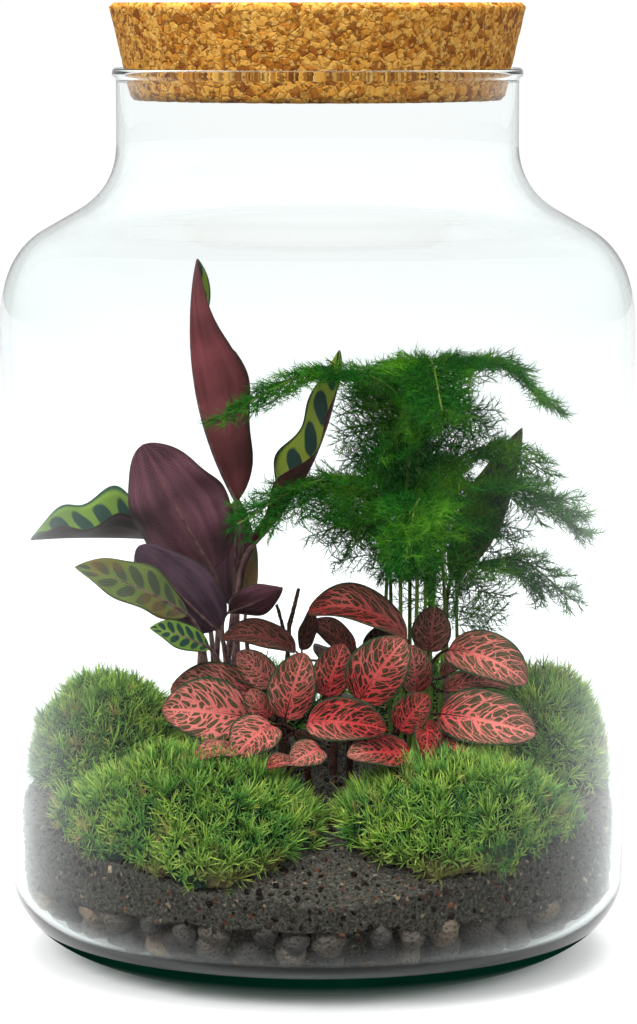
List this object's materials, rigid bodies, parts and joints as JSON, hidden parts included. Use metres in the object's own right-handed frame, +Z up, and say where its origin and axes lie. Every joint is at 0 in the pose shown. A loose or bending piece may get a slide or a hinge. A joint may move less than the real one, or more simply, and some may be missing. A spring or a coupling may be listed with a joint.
{
  "type": "glass plant terrarium",
  "caption": "Closed shouldered glass jar with a cork stopper, planted with moss, a prayer plant, a nerve plant and an asparagus fern on soil and drainage stones.",
  "frame": {"origin": "middle of the flat ring under the jar, on the surface that it stands on", "axes": "+Z up along the jar's axis, -Y towards the viewer, +X to the viewer's right"},
  "size_m": [0.2, 0.2, 0.3],
  "materials": {
    "glass": "clear blown glass with a faint blue-green cast, glossy, darker green where it is thick at the base",
    "cork": "pressed cork granules, golden tan with brown flecks and small dark gaps, matt",
    "stone": "rounded grey-brown drainage grains, dull, slightly pitted",
    "soil": "moist potting soil of peat and bark, dark brown and crumbly, with a few pale and reddish grains",
    "moss": "dense cushions of fine blades, yellow-green tips over darker green",
    "prayer_leaf": "satin leaf, plum underneath, light and dark green blotches above with a pale midrib",
    "nerve_leaf": "dark green oval leaf with a dense pink-red net of veins, satin",
    "fern": "fresh green needles on thin stems, satin",
    "twig": "dry dark brown bark, matt"
  },
  "bodies": {
    "root": {"cork_stopper": "cork", "drainage_stones": "stone", "dry_twig": "twig", "glass_jar": "glass", "soil": "soil", "fern_frond_low_right": "fern", "fern_frond_middle_back": "fern", "fern_frond_middle_front": "fern", "fern_frond_middle_left": "fern", "fern_frond_middle_right": "fern", "fern_frond_top_back": "fern", "fern_frond_top_front": "fern", "fern_frond_top_left": "fern", "fern_frond_top_right": "fern", "fern_frond_upper_right": "fern", "moss_back_left": "moss", "moss_back_right": "moss", "moss_front_left": "moss", "moss_front_right": "moss", "moss_left": "moss", "moss_right": "moss", "nerve_stem_back": "nerve_leaf", "nerve_stem_far_right": "nerve_leaf", "nerve_stem_front": "nerve_leaf", "nerve_stem_left": "nerve_leaf", "nerve_stem_middle": "nerve_leaf", "nerve_stem_right": "nerve_leaf", "nerve_stem_top": "nerve_leaf", "prayer_leaf_back": "prayer_leaf", "prayer_leaf_broad": "prayer_leaf", "prayer_leaf_dark": "prayer_leaf", "prayer_leaf_droop": "prayer_leaf", "prayer_leaf_far_right": "prayer_leaf", "prayer_leaf_left": "prayer_leaf", "prayer_leaf_low_broad": "prayer_leaf", "prayer_leaf_low_left": "prayer_leaf", "prayer_leaf_right": "prayer_leaf", "prayer_leaf_small": "prayer_leaf", "prayer_leaf_tall": "prayer_leaf", "prayer_leaf_young": "prayer_leaf"}
  },
  "joints": []
}
